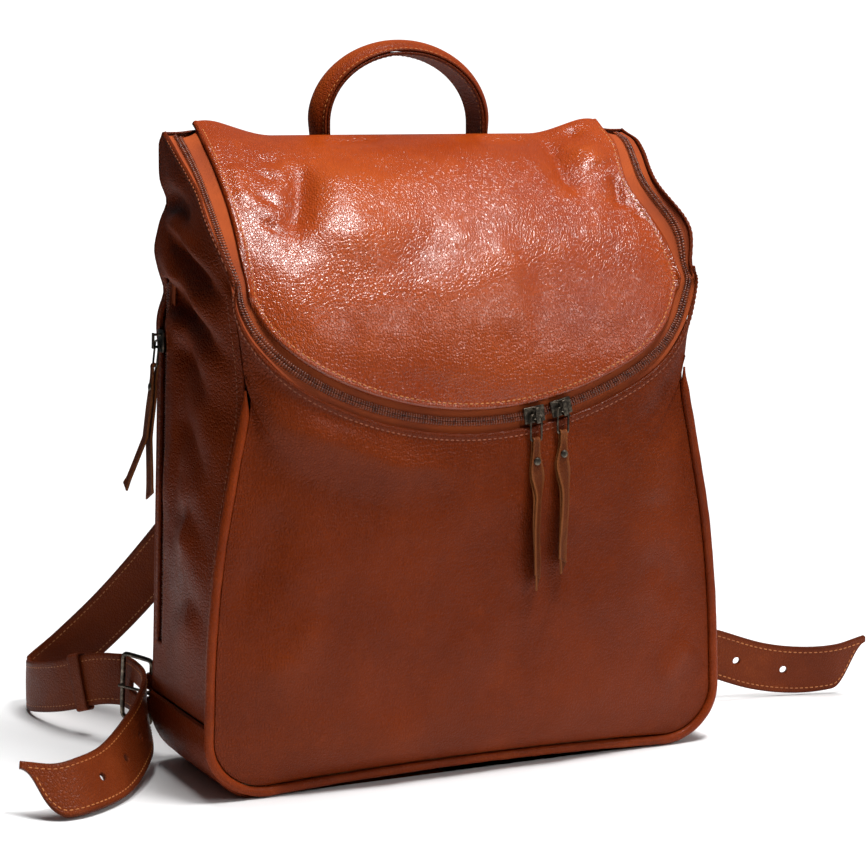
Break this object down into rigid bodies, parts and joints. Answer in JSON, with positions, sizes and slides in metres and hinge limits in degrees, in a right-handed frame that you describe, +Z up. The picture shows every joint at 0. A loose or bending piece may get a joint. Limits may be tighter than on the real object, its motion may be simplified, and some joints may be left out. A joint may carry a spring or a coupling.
{
  "type": "leather backpack",
  "caption": "Upright leather backpack with a zipped tongue lid, rear side zip, top handle and buckled shoulder straps.",
  "frame": {"origin": "centre of the flat base panel, on the ground", "axes": "+Z up, -Y is the front with the zip pulls, +Y is the back with the shoulder straps, +X to the right seen from the front"},
  "size_m": [0.5847, 0.2865, 0.4285],
  "materials": {
    "tan_leather": "glossy pebbled",
    "brown_leather": "glossy pebbled",
    "strap_leather": "semi-matt, stitched edges",
    "lining_cotton": "matt weave",
    "zip_tape": "matt weave",
    "zip_coil": "satin",
    "antique_brass": "dark antique",
    "base_board": "matt",
    "back_foam": "matt"
  },
  "bodies": {
    "bag": {"front_panel": "brown_leather", "side_panel_left": "brown_leather", "side_panel_right": "brown_leather", "base_panel": "brown_leather", "back_panel": "brown_leather", "piping_front": "brown_leather", "lining_bag": "lining_cotton", "base_board": "base_board", "back_foam": "back_foam", "inner_pocket": "lining_cotton", "zip_tape_body": "zip_tape", "zip_coil_body": "zip_coil", "back_zip_tape": "zip_tape", "back_zip_coil": "zip_coil", "handle_anchor_left": "brown_leather", "handle_anchor_right": "brown_leather", "strap_patch": "brown_leather", "strap_buckle_left": "antique_brass", "strap_buckle_right": "antique_brass", "buckle_tab_left": "brown_leather", "buckle_tab_right": "brown_leather"},
    "lid": {"lid_panel": "tan_leather", "lid_lining": "lining_cotton", "zip_tape_lid": "zip_tape", "zip_coil_lid": "zip_coil"},
    "slider_left": {"zip_slider_left": "antique_brass"},
    "slider_right": {"zip_slider_right": "antique_brass"},
    "wire_left": {"zip_pull_wire_left": "antique_brass"},
    "wire_right": {"zip_pull_wire_right": "antique_brass"},
    "tab_left": {"zip_pull_tab_left": "strap_leather", "zip_tab_rivet_left": "antique_brass"},
    "tab_right": {"zip_pull_tab_right": "strap_leather", "zip_tab_rivet_right": "antique_brass"},
    "back_slider": {"back_zip_slider": "antique_brass"},
    "back_wire": {"back_zip_wire": "antique_brass"},
    "back_tab": {"back_zip_tab": "strap_leather", "back_zip_rivet": "antique_brass"},
    "handle": {"handle_top": "brown_leather", "handle_backing": "brown_leather"},
    "strap_left": {"shoulder_strap_left": "strap_leather", "strap_keeper_left": "strap_leather"},
    "strap_right": {"shoulder_strap_right": "strap_leather", "strap_keeper_right": "strap_leather"},
    "tail_left": {"strap_tail_left": "strap_leather"},
    "tail_right": {"strap_tail_right": "strap_leather"},
    "prong_left": {"buckle_prong_left": "antique_brass"},
    "prong_right": {"buckle_prong_right": "antique_brass"}
  },
  "joints": [
    {"name": "lid_hinge", "type": "hinge", "parent": "bag", "child": "lid", "pos_m": [0, 0.049, 0.3695], "axis": [-1, 0, 0], "range_deg": [0, 85]},
    {"name": "slider_left_travel", "type": "hinge", "parent": "lid", "child": "slider_left", "pos_m": [0, -0.0633, 0.423], "axis": [0, 1, 0], "range_deg": [0, 34]},
    {"name": "slider_right_travel", "type": "hinge", "parent": "lid", "child": "slider_right", "pos_m": [0, -0.0633, 0.423], "axis": [0, -1, 0], "range_deg": [0, 12]},
    {"name": "wire_left_swing", "type": "hinge", "parent": "slider_left", "child": "wire_left", "pos_m": [0.03193, -0.0667, 0.2119], "axis": [-1, 0, 0], "range_deg": [0, 90]},
    {"name": "wire_right_swing", "type": "hinge", "parent": "slider_right", "child": "wire_right", "pos_m": [0.04948, -0.0667, 0.21531], "axis": [-1, 0, 0], "range_deg": [0, 90]},
    {"name": "tab_left_swing", "type": "hinge", "parent": "wire_left", "child": "tab_left", "pos_m": [0.03193, -0.0667, 0.1969], "axis": [-1, 0, 0], "range_deg": [0, 90]},
    {"name": "tab_right_swing", "type": "hinge", "parent": "wire_right", "child": "tab_right", "pos_m": [0.04948, -0.0667, 0.20031], "axis": [-1, 0, 0], "range_deg": [0, 90]},
    {"name": "back_slider_travel", "type": "slide", "parent": "bag", "child": "back_slider", "axis": [0.0326, 0, 0.9995], "range_m": [-0.114, 0.006]},
    {"name": "back_wire_swing", "type": "hinge", "parent": "back_slider", "child": "back_wire", "pos_m": [-0.16161, 0.0385, 0.25363], "axis": [0, 1, 0], "range_deg": [0, 80]},
    {"name": "back_tab_swing", "type": "hinge", "parent": "back_wire", "child": "back_tab", "pos_m": [-0.16344, 0.0385, 0.23875], "axis": [0, 1, 0], "range_deg": [0, 80]},
    {"name": "handle_swing", "type": "hinge", "parent": "bag", "child": "handle", "pos_m": [0, 0.065, 0.356], "axis": [-1, 0, 0], "range_deg": [0, 70]},
    {"name": "strap_left_swing", "type": "hinge", "parent": "bag", "child": "strap_left", "pos_m": [-0.0505, 0.0592, 0.306], "axis": [0.3944, -0.1353, 0.9089], "range_deg": [0, 30]},
    {"name": "strap_right_swing", "type": "hinge", "parent": "bag", "child": "strap_right", "pos_m": [0.0505, 0.0592, 0.306], "axis": [0.3944, 0.1353, -0.9089], "range_deg": [0, 30]},
    {"name": "tail_left_swing", "type": "hinge", "parent": "bag", "child": "tail_left", "pos_m": [-0.16541, 0.07624, 0.03825], "axis": [0, 0, 1], "range_deg": [-6, 1]},
    {"name": "tail_right_swing", "type": "hinge", "parent": "bag", "child": "tail_right", "pos_m": [0.16548, 0.07626, 0.03973], "axis": [0, 0, 1], "range_deg": [-3, 6]},
    {"name": "prong_left_lift", "type": "hinge", "parent": "bag", "child": "prong_left", "pos_m": [-0.15993, 0.06561, 0.03739], "axis": [0.0226, -0.0698, 0.9973], "range_deg": [0, 3]},
    {"name": "prong_right_lift", "type": "hinge", "parent": "bag", "child": "prong_right", "pos_m": [0.16023, 0.0655, 0.04045], "axis": [-0.0019, -0.0656, -0.9978], "range_deg": [0, 3]}
  ]
}
